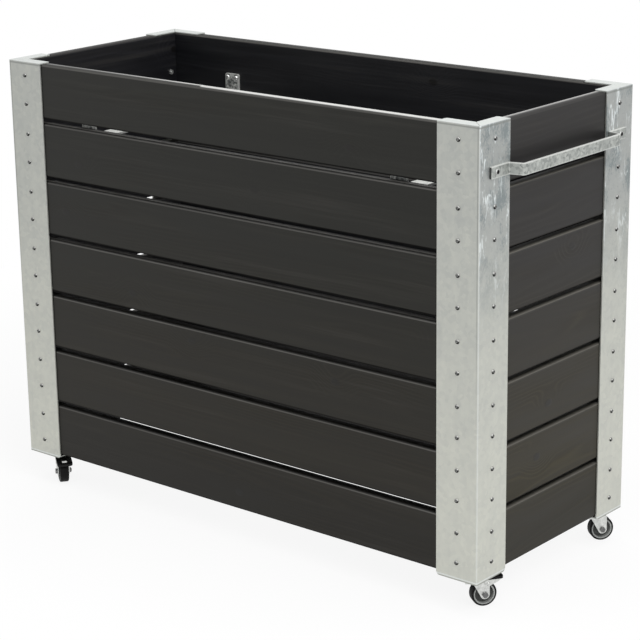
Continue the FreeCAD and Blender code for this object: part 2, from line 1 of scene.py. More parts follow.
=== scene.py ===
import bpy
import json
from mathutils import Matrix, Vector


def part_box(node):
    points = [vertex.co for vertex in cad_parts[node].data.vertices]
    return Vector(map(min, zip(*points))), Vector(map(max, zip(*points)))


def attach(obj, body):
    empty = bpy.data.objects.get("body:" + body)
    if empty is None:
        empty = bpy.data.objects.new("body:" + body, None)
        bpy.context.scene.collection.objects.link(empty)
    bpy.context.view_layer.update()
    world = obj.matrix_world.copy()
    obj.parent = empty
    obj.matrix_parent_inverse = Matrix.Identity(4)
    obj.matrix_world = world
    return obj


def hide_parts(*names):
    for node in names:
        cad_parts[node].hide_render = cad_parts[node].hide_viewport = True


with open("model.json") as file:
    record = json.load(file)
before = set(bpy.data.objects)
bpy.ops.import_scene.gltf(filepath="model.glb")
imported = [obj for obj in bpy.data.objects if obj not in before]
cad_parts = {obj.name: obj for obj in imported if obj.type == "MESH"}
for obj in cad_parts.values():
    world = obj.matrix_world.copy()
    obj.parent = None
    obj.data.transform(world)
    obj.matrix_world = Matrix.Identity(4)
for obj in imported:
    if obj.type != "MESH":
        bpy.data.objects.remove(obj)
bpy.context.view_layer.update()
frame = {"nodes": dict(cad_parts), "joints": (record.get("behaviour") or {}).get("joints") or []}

import bpy
import json
import math
from mathutils import Matrix, Vector


# ---- painted boards -------------------------------------------------------------------
# Seven planed spruce boards to a wall, with eased edges and open joints between them.
# Two coats of thin black wood paint leave the growth rings and the odd knot standing
# slightly proud, and the brushed film shines a little along its edges.  Light and shade
# are painted into the paint too: floor light low down, shade inside and in the gaps, and
# highlights along the upper edges and rims.
class Quantity:
    """A number that varies over a surface; arithmetic on it becomes Math nodes."""

    def __init__(self, tree, socket):
        self.tree = tree
        self.socket = socket

    def reckon(self, operation, *others):
        return self.tree.node("ShaderNodeMath", {"operation": operation},
                              dict(enumerate((self,) + others)))

    def turned_round(self, operation, first):
        return self.tree.node("ShaderNodeMath", {"operation": operation}, {0: first, 1: self})

    def __add__(self, other):
        return self.reckon("ADD", other)

    def __sub__(self, other):
        return self.reckon("SUBTRACT", other)

    def __rsub__(self, other):
        return self.turned_round("SUBTRACT", other)

    def __mul__(self, other):
        return self.reckon("MULTIPLY", other)

    def __truediv__(self, other):
        return self.reckon("DIVIDE", other)

    def __rtruediv__(self, other):
        return self.turned_round("DIVIDE", other)

    def __pow__(self, other):
        return self.reckon("POWER", other)

    def __abs__(self):
        return self.reckon("ABSOLUTE")

    __radd__ = __add__
    __rmul__ = __mul__


class NodeTree:
    """Adds nodes to a tree by type: settings first, then what goes into the sockets."""

    def __init__(self, tree):
        self.tree = tree

    def plug(self, socket, value):
        if isinstance(value, Quantity):
            self.tree.links.new(value.socket, socket)
        else:
            socket.default_value = value

    def node(self, kind, settings=None, sockets=None, output=0):
        made = self.tree.nodes.new(kind)
        for name, value in (settings or {}).items():
            setattr(made, name, value)
        for key, value in (sockets or {}).items():
            self.plug(made.inputs[key], value)
        return Quantity(self, made.outputs[output])


class Finish(NodeTree):
    """A material made of one Principled shader and whatever varies it."""

    def __init__(self, name, shader_values):
        self.material = bpy.data.materials.new(name)
        self.material.use_nodes = True
        super().__init__(self.material.node_tree)
        self.shader = self.tree.nodes["Principled BSDF"]
        self.place = self.node("ShaderNodeTexCoord", output="Object")
        self.give(shader_values)

    def give(self, values):
        for name, value in values.items():
            self.plug(self.shader.inputs[name], value)

    def axes(self):
        """The place along X, Y and Z, in metres."""
        first = self.node("ShaderNodeSeparateXYZ", None, {0: self.place})
        return [Quantity(self, socket) for socket in first.socket.node.outputs]

    def vector(self, x, y, z):
        return self.node("ShaderNodeCombineXYZ", None, {0: x, 1: y, 2: z})

    def chances(self, seed):
        """Three numbers from 0 to 1 that jump with every change of the seed."""
        first = self.node("ShaderNodeTexWhiteNoise", None, {"Vector": seed}, output="Color")
        parts = self.node("ShaderNodeSeparateXYZ", None, {0: first})
        return [Quantity(self, socket) for socket in parts.socket.node.outputs]

    def scaled(self, colour, factor):
        """A colour made darker or lighter by a factor."""
        return self.node("ShaderNodeVectorMath", {"operation": "SCALE"},
                         {0: colour, "Scale": factor})

    def stretched(self, x, y, z):
        """The place scaled by so much on each axis."""
        return self.node("ShaderNodeVectorMath", {"operation": "MULTIPLY"},
                         {0: self.place, 1: (x, y, z)})

    def noise(self, place, scale=1.0, detail=2.0, roughness=0.5):
        return self.node("ShaderNodeTexNoise", None,
                         {"Vector": place, "Scale": scale, "Detail": detail,
                          "Roughness": roughness})

    def ramp(self, value, low, high):
        """0 below low, 1 above high and a smooth climb between them."""
        return self.node("ShaderNodeMapRange", {"interpolation_type": "SMOOTHSTEP"},
                         {"Value": value, "From Min": low, "From Max": high})

    def blend(self, mask, bare, covered):
        """One colour where the mask is 0 and another where it is 1."""
        return self.node("ShaderNodeMix", {"data_type": "RGBA"},
                         {0: mask, 6: bare, 7: covered}, output=2)

    def cover(self, mask, colour):
        """Lay a colour over the one so far, where the mask is 1."""
        self.colour = self.blend(mask, self.colour, colour)

    def shade(self, factor):
        """Make the colour so far darker or lighter."""
        self.colour = self.scaled(self.colour, factor)

    def bump(self, height, distance, strength=1.0):
        return self.node("ShaderNodeBump", None,
                         {"Height": height, "Distance": distance, "Strength": strength})


def dress(finish, names):
    for name in names:
        frame["nodes"][name].material_slots[0].material = finish.material


post_low, post_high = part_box("corner_post_back_right")
board_low, board_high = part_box("front_board_1")
end_board_low, end_board_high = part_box("left_board_1")
board_pitch = board_low.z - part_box("front_board_2")[0].z
board_height = board_high.z - board_low.z
boards_top = board_high.z
board_count = 7
arris_radius = 0.004

ring_width = 0.0052
ring_drift = 0.010          # the rings run this much out of line in a metre of board
ring_wander = 0.045         # and stray to and fro by this much
ring_swirl = 0.022          # and by this much round a knot
ring_sharpness = 2.5        # how much narrower the hard late wood is than the soft
pith_scatter_up = 0.10      # how far apart the piths of the boards lie, up and inwards
pith_scatter_in = 0.40
ring_height = 0.80          # rings are flattened by so much, up and inwards
ring_depth = 0.15
knot_spacing = 0.42         # along a board, about one place for a knot in each stretch
knot_share = 0.36
knot_reach_along = 0.60     # a knot lies within this share of its stretch
knot_reach_up = board_height * 0.55
knot_slant = 0.45           # less than 1 draws a knot out along the grain
knot_radius = 0.0095
swirl_radius = knot_radius * 5

wander_figure = (1.6, 8.0)  # features in a metre, along the grain and across it
fibre_figure = (7.0, 420.0)
brush_figure = (1.9, 75.0)
cloud_figure = (2.6, 16.0)
cloud_shows = (0.36, 0.66)  # where the grain starts to show through the paint, and fully
thin_shows = (0.50, 0.66)
thin_by_brush = 0.55        # how far brush marks, rather than fibres, make the paint thin

tone_level = 0.96           # how each pattern lightens, dulls and raises the paint
tone_weights = {"rings": 0.51, "fibre": 0.75, "brush": 1.05}
gloss_level = 0.47
gloss_weights = {"fibre": 0.20, "cloud": 0.30, "brush": 0.16, "post shadow": 0.50,
                 "knots": -0.10, "arris": -0.12, "edges": 0.12}
relief_weights = {"rings": 0.60, "fibre": 0.35, "brush": 0.70, "knots": 0.90}
relief_height = 0.0002
edge_crown = 25.0           # how much the planed edges fall away to their sides

# painted light from the floor: the paint grows lighter and warmer towards the bottom
floor_light_levels = (0.05, boards_top - 0.10)
floor_light_share = 0.75
floor_light_scatter = 0.5
bottom_darkening_levels = (board_pitch * 0.8, board_pitch * 2.2)
bottom_darkening = 0.55
inner_shade_cover = 0.80         # how much of the paint each of these colours covers
thin_cover = 0.50
knot_cover = 0.80
least_rubbing_and_light = 0.15
post_shadow_width = 0.0040          # painted shadow beside a post's free edge, this wide
ledge_to = 0.8              # where a lower board's top edge takes its ledge paint fully
ledge_cover = 0.9
ledge_shade_strength = 0.8       # painted shade on the rest of that edge
pale_line = (0.15, 0.50)    # half the width of the pale line on a high ledge, full and faded
pale_ledges = (1.5, 4.5)   # and that line fades out between these boards from the top
lower_shade_height = 0.0046        # dull black painted shade reaches this far above a lower edge
lower_shade_dullness = 0.9
rim_highlight_from = -0.10           # where the rim's painted highlight starts, out from its middle
rim_highlight_to = 0.65
wide_highlight_reach = 0.7            # how much further out the painted highlight reaches past a place
wide_highlight_step = 0.004            # half the length of the step where the painted highlight widens
rim_highlight_cover = 0.85
rim_highlight_streaks = 0.3
wide_highlight_dimming = 0.28

film_tint = (1.0, 0.98, 0.93, 1.0)
inner_shade_paint = (0.0058, 0.0062, 0.0086, 1.0)
rubbed_and_lit_paint = (0.1100, 0.1070, 0.1010, 1.0)
thin_paint = (0.0260, 0.0245, 0.0225, 1.0)
knot_paint = (0.0042, 0.0040, 0.0038, 1.0)
rim_highlight = (0.8000, 0.8000, 0.7800, 1.0)
ledge_pale_line = (0.4000, 0.3870, 0.3670, 1.0)
# ledge paint: painted shade on the long walls, painted light on the end walls
long_walls = {"runs_along_x": True, "seed": 1.7, "sheen": 0.31,
              "fresh_paint": (0.0058, 0.0062, 0.0050, 1.0),
              "dusty_paint": (0.0110, 0.0084, 0.0042, 1.0),
              "rubbing": 1.1, "worn_side": -1.0, "worn_least": 0.20,
              "worn_along": (-0.45, 0.05), "bare_from": -0.07,
              "ledge_paint": (0.0015, 0.0015, 0.0015, 1.0), "ledge_from": 0.0,
              "upper_dust": 0.7}
end_walls = {"runs_along_x": False, "seed": 0.0, "sheen": 0.28,
             "fresh_paint": (0.0112, 0.0104, 0.0108, 1.0),
             "dusty_paint": (0.0250, 0.0200, 0.0060, 1.0),
             "rubbing": 0.2, "worn_side": 1.0, "worn_least": 0.45,
             "worn_along": (0.20, 0.60), "bare_from": 1.0,
             "ledge_paint": (0.1150, 0.1090, 0.0950, 1.0), "ledge_from": -0.3,
             "upper_dust": 0.0}


class BoardPaint(Finish):
    """Thin paint over spruce that is cut differently for each board of the walls."""

    def __init__(self, name, wall):
        super().__init__(name, {"Specular IOR Level": wall["sheen"],
                                "Specular Tint": film_tint})
        self.wall = wall
        x, y, self.z = self.axes()
        if wall["runs_along_x"]:
            self.along, self.depth, self.post_edge = x, y, post_low.x
            self.inner, self.outer = -board_high.y, -board_low.y
        else:
            self.along, self.depth, self.post_edge = y, x, post_low.y
            self.inner, self.outer = -end_board_high.x, -end_board_low.x
        self.side = self.depth.reckon("SIGN")
        self.number = ((boards_top - self.z) / board_pitch).reckon("FLOOR")
        self.up = self.z - (boards_top - board_height / 2 - self.number * board_pitch)
        self.find_edges()
        self.grow()
        self.coat()
        self.rub_and_highlight()
        self.soil_gaps()
        self.highlight_rim()
        relief = self.weighed(relief_weights) - self.off_middle ** 2.0 * edge_crown
        self.give({"Base Color": self.colour, "Metallic": self.lower_edge_shade * lower_shade_dullness,
                   "Roughness": self.weighed(gloss_weights) + gloss_level,
                   "Normal": self.bump(relief, relief_height)})

    def weighed(self, weights):
        """The patterns of the timber and its paint, each times its weight, added up."""
        total = 0.0
        for pattern, weight in weights.items():
            total = total + self.patterns[pattern] * weight
        return total

    def drawn_out(self, figure, shift, detail=2.0, roughness=0.5):
        """Noise drawn out along the grain and shifted to another part of its pattern."""
        per_metre_along, per_metre_across = figure
        place = self.vector(self.along * per_metre_along + shift,
                            self.up * per_metre_across, self.depth * per_metre_across)
        return self.noise(place, 1.0, detail, roughness)

    def find_edges(self):
        """Where the faces, the eased edges and the painted shadow beside a post are."""
        half_depth = (self.outer - self.inner) / 2
        off_middle = abs(self.depth) - (self.inner + self.outer) / 2
        past_face = abs(off_middle) - half_depth + arris_radius
        past_edge = abs(self.up) - board_height / 2 + arris_radius
        past_both = past_face.reckon("MINIMUM", past_edge)
        facing_up = self.up.reckon("GREATER_THAN", 0.0)
        self.off_middle = off_middle / half_depth
        self.arris = self.ramp(past_both, 0.0, arris_radius / 2) * facing_up
        self.edge = self.ramp(past_edge, arris_radius * 0.6, arris_radius * 0.8)
        self.top_edge = self.edge * facing_up
        self.in_gap = self.number.reckon("GREATER_THAN", 0.5)
        self.inward = 1.0 - self.ramp(abs(self.depth), self.inner, self.inner + arris_radius)
        # lip: painted shadow on the outer faces beside the posts' free edges
        lip = self.ramp(abs(self.along), self.post_edge - post_shadow_width,
                        self.post_edge - post_shadow_width / 4)
        self.lip = lip * (1.0 - self.inward)

    def knots(self, lot_a, lot_b):
        """The eyes of the knots, one in some of a board's stretches, and their swirls."""
        stretches = self.along / knot_spacing + lot_a * 7.0
        stretch = stretches.reckon("FLOOR")
        chance_a, chance_b, chance_c = self.chances(
            self.vector(stretch, self.number + lot_b * 9.0, self.side))
        off_centre = (chance_a - 0.5) * knot_reach_along
        knot_along = (stretches - stretch - 0.5 - off_centre) * knot_spacing
        knot_up = self.up - (chance_b - 0.5) * knot_reach_up
        from_knot = (knot_along ** 2.0 * knot_slant + knot_up ** 2.0).reckon("SQRT")
        has_knot = chance_c.reckon("LESS_THAN", knot_share)
        eye = (1.0 - self.ramp(from_knot, knot_radius / 2, knot_radius)) * has_knot
        swirl = (1.0 - self.ramp(from_knot, 0.0, swirl_radius)) * has_knot
        return eye, swirl

    def grow(self):
        """Growth rings about a pith beyond the board, which flow round the knots."""
        lot_a, lot_b, lot_c = self.chances(
            self.vector(self.number + 3.0, self.side * 5.0, self.wall["seed"]))
        self.eye, swirl = self.knots(lot_a, lot_b)
        wander = self.drawn_out(wander_figure, lot_b * 40.0)
        pith_up = (self.up + (lot_c - 0.5) * pith_scatter_up) * ring_height
        pith_depth = (abs(self.depth) - lot_b * pith_scatter_in) * ring_depth
        from_pith = (pith_up ** 2.0 + pith_depth ** 2.0).reckon("SQRT")
        rings = from_pith + wander * ring_wander + swirl * ring_swirl
        turns = (rings + self.along * ring_drift) / ring_width
        wave = (turns * (2 * math.pi)).reckon("SINE") * 0.5 + 0.5
        self.fibre = self.drawn_out(fibre_figure, lot_a * 20.0, detail=4.0, roughness=0.62)
        self.brush = self.drawn_out(brush_figure, lot_c * 9.0)
        per_metre_along, per_metre_across = cloud_figure
        self.cloud = self.noise(self.vector(self.along * per_metre_along,
                                            self.up * per_metre_across,
                                            self.number * 3.0 + self.side))
        self.shows = self.ramp(self.cloud, *cloud_shows)
        self.patterns = {"rings": wave ** ring_sharpness * self.shows,
                         "fibre": self.fibre - 0.5, "brush": self.brush - 0.5,
                         "cloud": self.cloud - 0.5, "knots": self.eye,
                         "post shadow": self.lip, "arris": self.arris, "edges": self.edge}

    def coat(self):
        """Thin paint, pale over soft wood, with painted floor light low and shade inside."""
        # painted light from the floor, lighter and warmer low down
        low_down = 1.0 - self.ramp(self.z, *floor_light_levels)
        paler = low_down * floor_light_share + (self.cloud - 0.5) * floor_light_scatter
        self.colour = self.blend(paler, self.wall["fresh_paint"], self.wall["dusty_paint"])
        # painted shade: the inner faces darker
        self.cover(self.inward * inner_shade_cover, inner_shade_paint)
        # the paint darker on the lowest boards
        near_bottom = 1.0 - self.ramp(self.z, *bottom_darkening_levels)
        tone = self.weighed(tone_weights) + tone_level
        self.shade(tone * (1.0 - near_bottom * bottom_darkening))
        thin = self.brush * thin_by_brush + self.fibre * (1.0 - thin_by_brush)
        thin = self.ramp(thin, *thin_shows) * self.shows
        self.cover(thin * thin_cover, thin_paint)
        self.cover(self.eye * knot_cover, knot_paint)

    def rub_and_highlight(self):
        """Upper edges rubbed and painted pale as highlight; painted shadow by the posts."""
        # rubbed paint and a painted highlight along the upper edges
        rubbed_and_lit = self.arris * (self.brush + least_rubbing_and_light) * self.wall["rubbing"]
        self.cover(rubbed_and_lit.reckon("MINIMUM", 1.0), rubbed_and_lit_paint)
        self.shade(1.0 - self.lip)

    def soil_gaps(self):
        """Painted light and shade on the ledges and lower edges, a pale line on high ledges."""
        ledge = self.top_edge * self.in_gap
        paler = (1.0 - self.ramp(self.number, *pale_ledges)) * self.wall["upper_dust"]
        outer_part = self.ramp(self.off_middle, self.wall["ledge_from"], ledge_to)
        outer_part = outer_part * (1.0 - paler)
        # painted shade on each ledge's inner part; its outer part takes the wall's ledge paint
        self.shade(1.0 - ledge * (1.0 - outer_part) * ledge_shade_strength)
        self.cover(ledge * outer_part * ledge_cover, self.wall["ledge_paint"])
        # a pale line along the middle of the high ledges
        in_line = 1.0 - self.ramp(abs(self.off_middle), *pale_line)
        self.cover(ledge * paler * in_line, ledge_pale_line)
        # painted shade, dull black, along each board's lower edge
        above_edge = self.up + board_height / 2
        lower_edge_shade = 1.0 - self.ramp(above_edge, lower_shade_height / 3, lower_shade_height)
        self.lower_edge_shade = lower_edge_shade * (1.0 - self.inward)
        self.shade(1.0 - self.lower_edge_shade)

    def highlight_rim(self):
        """A painted highlight along the inner side of two rims, wider on one past a place."""
        near_wall = (self.side * self.wall["worn_side"]).reckon("GREATER_THAN", 0.0)
        rim = self.top_edge * near_wall * (1.0 - self.in_gap)
        bare_from = self.wall["bare_from"]
        # bare: where the rim's painted highlight widens
        bare = self.ramp(self.along, bare_from - wide_highlight_step, bare_from + wide_highlight_step)
        rim_lit = self.ramp(bare * wide_highlight_reach - self.off_middle, rim_highlight_from, rim_highlight_to) * rim
        least = self.wall["worn_least"]
        rim_lit = rim_lit * (self.ramp(self.along, *self.wall["worn_along"]) * (1.0 - least) + least)
        streaks = self.brush * rim_highlight_streaks - bare * wide_highlight_dimming
        self.cover(rim_lit * (streaks + rim_highlight_cover), rim_highlight)


long_paint = BoardPaint("long_board_paint", long_walls)
end_paint = BoardPaint("end_board_paint", end_walls)
for board_number in range(1, board_count + 1):
    dress(long_paint, ["front_board_%d" % board_number, "back_board_%d" % board_number])
    dress(end_paint, ["left_board_%d" % board_number, "right_board_%d" % board_number])


# ---- corner posts ---------------------------------------------------------------------
# Each post is one folded steel sheet with lips over the board ends and a foot plate.
# Hot dipping leaves a grey zinc skin with faint crystals and runs drawn downwards, bluish
# with pale clouds and trickles near the top of the end flanges.  The zinc is painted
# lighter low down as light from the floor, and its folds carry painted highlights and shade.
corners = {"front_left": (-1, -1), "front_right": (1, -1), "back_left": (-1, 1),
           "back_right": (1, 1)}
crystal_size = 0.0085
patch_size = 0.045
run_figure = (60.0, 60.0, 4.0)         # features in a metre along X, Y and Z
blotch_figure = (24.0, 24.0, 15.0)
mottle_figure = (260.0, 260.0, 170.0)
bloom_figure = (30.0, 30.0, 17.0)
trickle_figure = (38.0, 7.0)           # across a flange and down it
zinc_pits_per_metre = 900.0

zinc_metallic = 0.62
foot_tone = 0.74            # dark to light at a post's foot, as painted floor light
top_darkening = 0.42        # and so much less at its top
patch_contrast = 0.40
run_contrast = 0.22
zinc_roughness = 0.42
patch_roughness = 0.14
pale_roughness = 0.12
patch_relief = 1.4
pit_relief = 0.12
crystal_relief = 0.25
zinc_relief = 0.0003

skin_depth = 0.0012         # a colour of one face reaches this far into the sheet
drained_below_top = (0.42, 0.12)       # the end flanges' streaks begin and are at full here
mottling = 0.55
blue_shows = (0.44, 0.66)
pale_shows = (0.54, 0.74)
trickle_shows = (0.46, 0.56)
trickle_width = 0.020
fold_width = 0.0028
fold_shade_inset = 0.0040       # a line of painted shade on the long flange, from the outer corner
fold_shade_width = 0.0018
fold_shade_levels = (0.25, 0.65)           # above the foot it begins and is at full here
foot_fold = 0.0042          # the painted highlight of the lowest fold, above its lower side
foot_fold_width = 0.0020
foot_shade_width = 0.0028
lip_fold = 0.0040           # the painted shade under the highest fold, below its upper side
lip_fold_width = 0.0022
lip_edge_width = 0.0014

post_dark = (0.360, 0.375, 0.365, 1.0)
post_light = (0.640, 0.645, 0.575, 1.0)
zinc_blue = (0.175, 0.212, 0.220, 1.0)
zinc_dull = (0.330, 0.345, 0.345, 1.0)
zinc_bloom_and_highlight = (0.740, 0.780, 0.780, 1.0)
zinc_run = (0.820, 0.870, 0.870, 1.0)
zinc_shade = (0.230, 0.240, 0.225, 1.0)
covers = {"dull": 0.65, "blue": 0.75, "pale": 0.55, "trickles": 0.70, "fold": 0.30,
          "fold_shade": 0.60, "foot fold": 0.60, "foot shade": 0.70, "lip fold": 0.70,
          "lip edge": 0.40}


class DippedZinc(Finish):
    """Hot-dip zinc whose tone wanders from dark to light in patches, runs and crystals."""

    def __init__(self, name, dark, light, crystal_contrast, crystal_span):
        super().__init__(name, {"Metallic": zinc_metallic})
        self.x, self.y, self.z = self.axes()
        cells = self.node("ShaderNodeTexVoronoi", None,
                          {"Vector": self.place, "Scale": 1 / crystal_span}, output="Color")
        crystal = self.node("ShaderNodeSeparateXYZ", None, {0: cells}) - 0.5
        patches = self.noise(self.place, 1 / patch_size, detail=4.0, roughness=0.62)
        runs = self.noise(self.stretched(*run_figure), detail=3.0, roughness=0.6)
        pits = self.noise(self.place, zinc_pits_per_metre)
        # painted light from the floor: lighter towards the foot of the posts
        height_up = self.ramp(self.z, post_low.z, post_high.z)
        tone = foot_tone - height_up * top_darkening + crystal * crystal_contrast
        tone = tone + (patches - 0.5) * patch_contrast + (runs - 0.5) * run_contrast
        tone = tone.reckon("MAXIMUM", 0.0).reckon("MINIMUM", 1.0)
        self.colour = self.blend(tone, dark, light)
        self.roughness = patches * patch_roughness + zinc_roughness
        self.relief = patches * patch_relief + pits * pit_relief + crystal * crystal_relief

    def line(self, distance, half_width):
        """1 on a line and 0 further than half its width from it."""
        return 1.0 - self.ramp(abs(distance), half_width * 0.4, half_width)

    def on_face(self, place, face):
        """1 on a flat face, by the place across the sheet, and 0 behind it."""
        return self.ramp(place, face - skin_depth, face - skin_depth / 3)

    def settle(self):
        self.give({"Base Color": self.colour, "Roughness": self.roughness,
                   "Normal": self.bump(self.relief, zinc_relief)})
        return self


class PostZinc(DippedZinc):
    """The posts' zinc, with painted highlights and shade along the folds of the sheet."""

    def __init__(self):
        super().__init__("post_zinc", post_dark, post_light, crystal_contrast=0.16,
                         crystal_span=crystal_size)
        self.below_top = post_high.z - self.z
        self.above_foot = self.z - post_low.z
        self.drain()
        self.fold()
        self.settle()

    def drain(self):
        """Dull blue, with pale clouds and trickles, where the acid drained off the ends."""
        began, full = drained_below_top
        near_top = 1.0 - self.ramp(self.below_top, full, began)
        on_end = self.on_face(abs(self.x), post_high.x) * near_top
        mottle = self.noise(self.stretched(*mottle_figure), detail=3.0, roughness=0.6)
        mottle = (mottle - 0.5) * mottling
        self.cover(on_end * covers["dull"], zinc_dull)
        blotches = self.noise(self.stretched(*blotch_figure), detail=5.0, roughness=0.66)
        blue = self.ramp(blotches + mottle, *blue_shows)
        self.cover(blue * on_end * covers["blue"], zinc_blue)
        clouds = self.noise(self.stretched(*bloom_figure), detail=4.0, roughness=0.65)
        pale = self.ramp(clouds + mottle, *pale_shows) * on_end
        self.cover(pale * covers["pale"], zinc_bloom_and_highlight)
        per_metre_across, per_metre_down = trickle_figure
        courses = self.vector(self.y * per_metre_across, self.x, self.z * per_metre_down)
        courses = self.noise(courses, detail=3.0, roughness=0.55)
        trickles = self.line(courses - 0.5, trickle_width)
        trickles = trickles * self.ramp(clouds, *trickle_shows) * on_end
        self.cover(trickles * covers["trickles"], zinc_run)
        self.roughness = self.roughness + pale * pale_roughness

    def fold(self):
        """Painted highlights on folds, painted shade by the upright one, at foot and top."""
        # painted highlight on the upright fold
        fold = self.ramp(abs(self.x), post_high.x - fold_width, post_high.x - fold_width / 2)
        fold = fold * self.ramp(abs(self.y), post_high.y - fold_width,
                                post_high.y - fold_width / 2)
        self.cover(fold * covers["fold"], zinc_bloom_and_highlight)
        # painted shade in a line beside the upright fold
        fold_shade = self.line(post_high.x - abs(self.x) - fold_shade_inset, fold_shade_width)
        fold_shade = fold_shade * self.on_face(abs(self.y), post_high.y)
        fold_shade = fold_shade * self.ramp(self.above_foot, *fold_shade_levels)
        self.cover(fold_shade * covers["fold_shade"], zinc_shade)
        # painted highlight along the lowest fold, painted shade at the very foot
        foot_line = self.line(self.above_foot - foot_fold, foot_fold_width)
        self.cover(foot_line * covers["foot fold"], zinc_bloom_and_highlight)
        foot_shade = self.line(self.above_foot, foot_shade_width)
        self.cover(foot_shade * covers["foot shade"], zinc_shade)
        # painted shade below the highest fold, painted highlight on its edge
        lip_line = self.line(self.below_top - lip_fold, lip_fold_width)
        self.cover(lip_line * covers["lip fold"], zinc_shade)
        lip_edge = self.line(self.below_top, lip_edge_width)
        self.cover(lip_edge * covers["lip edge"], zinc_bloom_and_highlight)


dress(PostZinc(), ["corner_post_" + corner for corner in corners])


# ---- handles and ties -----------------------------------------------------------------
# Flat steel bars, 22 mm high for the handles and 38 mm wide for the ties, bent cold and
# dipped after bending, so that the thicker bar shows clearer crystals.  Their edges carry
# painted highlights, the ties' webs painted light and the handles' foot ends painted shade.
bar_thickness = 0.004
bar_crystal = 0.0055
# painted highlights along the bars' edges, this wide
edge_width = 0.0022
foot_end_shade_width = 0.0008
web_fade = 0.006            # painted light on a tie's web fades over this much up its end
edge_cover = 0.75
lower_edge_cover = 0.35     # weaker painted highlight on the handles' ground-facing lower edges
web_light_cover = 0.80
bar_dark = (0.220, 0.235, 0.225, 1.0)
bar_light = (0.640, 0.660, 0.625, 1.0)
bar_pale_and_highlight = (0.820, 0.830, 0.800, 1.0)
foot_end_shade = (0.075, 0.078, 0.075, 1.0)
tie_dark = (0.130, 0.140, 0.137, 1.0)
tie_web_light = (0.720, 0.730, 0.700, 1.0)
handle_low, handle_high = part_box("handle_right")
handle_level = (handle_low.z + handle_high.z) / 2
tie_low, tie_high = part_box("tie_right")
tie_middle = (tie_low.x + tie_high.x) / 2

handle_zinc = DippedZinc("handle_zinc", bar_dark, bar_light, crystal_contrast=0.50,
                         crystal_span=bar_crystal)
to_edge = abs(handle_zinc.z - handle_level) - (handle_high.z - handle_low.z) / 2
upper_edge = handle_zinc.z.reckon("GREATER_THAN", handle_level)
this_edge_cover = upper_edge * (edge_cover - lower_edge_cover) + lower_edge_cover
# painted highlight along the handles' edges
handle_zinc.cover(handle_zinc.line(to_edge, edge_width) * this_edge_cover, bar_pale_and_highlight)
# painted shade on the end faces of the handles' feet
to_foot_end = abs(handle_zinc.y) - handle_high.y
handle_zinc.cover(handle_zinc.line(to_foot_end, foot_end_shade_width), foot_end_shade)
dress(handle_zinc.settle(), ["handle_left", "handle_right"])

tie_zinc = DippedZinc("tie_zinc", tie_dark, bar_pale_and_highlight, crystal_contrast=1.00,
                      crystal_span=bar_crystal)
to_edge = abs(abs(tie_zinc.x) - tie_middle) - (tie_high.x - tie_low.x) / 2
to_edge = to_edge.reckon("MAXIMUM", tie_zinc.z - tie_high.z)
# painted highlight along the ties' edges
tie_zinc.cover(tie_zinc.line(to_edge, edge_width) * edge_cover, bar_pale_and_highlight)
# painted light on the ties' webs
web_top = tie_low.z + bar_thickness
web = 1.0 - tie_zinc.ramp(tie_zinc.z, web_top, web_top + web_fade)
tie_zinc.cover(web * web_light_cover, tie_web_light)
dress(tie_zinc.settle(), ["tie_left", "tie_right"])


# ---- casters --------------------------------------------------------------------------
# Bought-in swivel casters: pressed and zinc-plated forks and plates, riveted turning cups,
# black rubber tyres bonded on moulded wheels, and brake levers with moulded pedals.
rim_inner_radius = 0.0180
rim_edge = 0.0004
hub_radius = 0.0080
hub_fillet = (0.0020, 0.0010)          # the pale hub fades between these inside its radius
smears_per_metre = 130.0
scratches_per_metre = 1500.0
dust_per_metre = 160.0
grit_per_metre = 2200.0
clean_tone = 0.4            # the plating's tone where it isn't smeared
smear_contrast = 1.2
smear_roughness = 0.16
scratch_relief = 0.15
smear_relief = 0.00015
bare_tone = 0.8             # the tone of rubber and plastic without dust
dust_contrast = 1.2
dust_roughness = 0.14
grit_relief = 0.6
dust_relief = 0.00012
plated_steel = (0.640, 0.650, 0.630)
axle_steel = (0.160, 0.160, 0.160)
tyre_rubber = (0.003, 0.003, 0.003)
pedal_plastic = (0.005, 0.005, 0.005)
web_plastic = (0.060, 0.062, 0.060)
rim_plastic = (0.340, 0.350, 0.340, 1.0)


class PlatedZinc(Finish):
    """Electroplated steel, scuffed by handling."""

    def __init__(self, name, roughness, metallic=0.9):
        super().__init__(name, {"Metallic": metallic})
        self.smear = self.noise(self.place, smears_per_metre, detail=4.0, roughness=0.65)
        scratches = self.noise(self.place, scratches_per_metre)
        self.give({"Roughness": self.smear * smear_roughness + roughness,
                   "Normal": self.bump(self.smear + scratches * scratch_relief, smear_relief)})

    def tinted(self, colour):
        """The same plating in a colour that is lighter where it is smeared."""
        tone = self.smear * smear_contrast + clean_tone
        self.give({"Base Color": self.scaled(colour, tone)})
        return self


class Moulded(Finish):
    """Black rubber or plastic, paler where dust clings to it."""

    def __init__(self, name, colour, roughness):
        super().__init__(name, {"Specular IOR Level": 0.15})
        dust = self.noise(self.place, dust_per_metre, detail=4.0, roughness=0.65)
        grit = self.noise(self.place, grit_per_metre)
        self.colour = colour
        self.shade(dust * dust_contrast + bare_tone)
        self.give({"Base Color": self.colour, "Roughness": dust * dust_roughness + roughness,
                   "Normal": self.bump(grit * grit_relief + dust, dust_relief)})


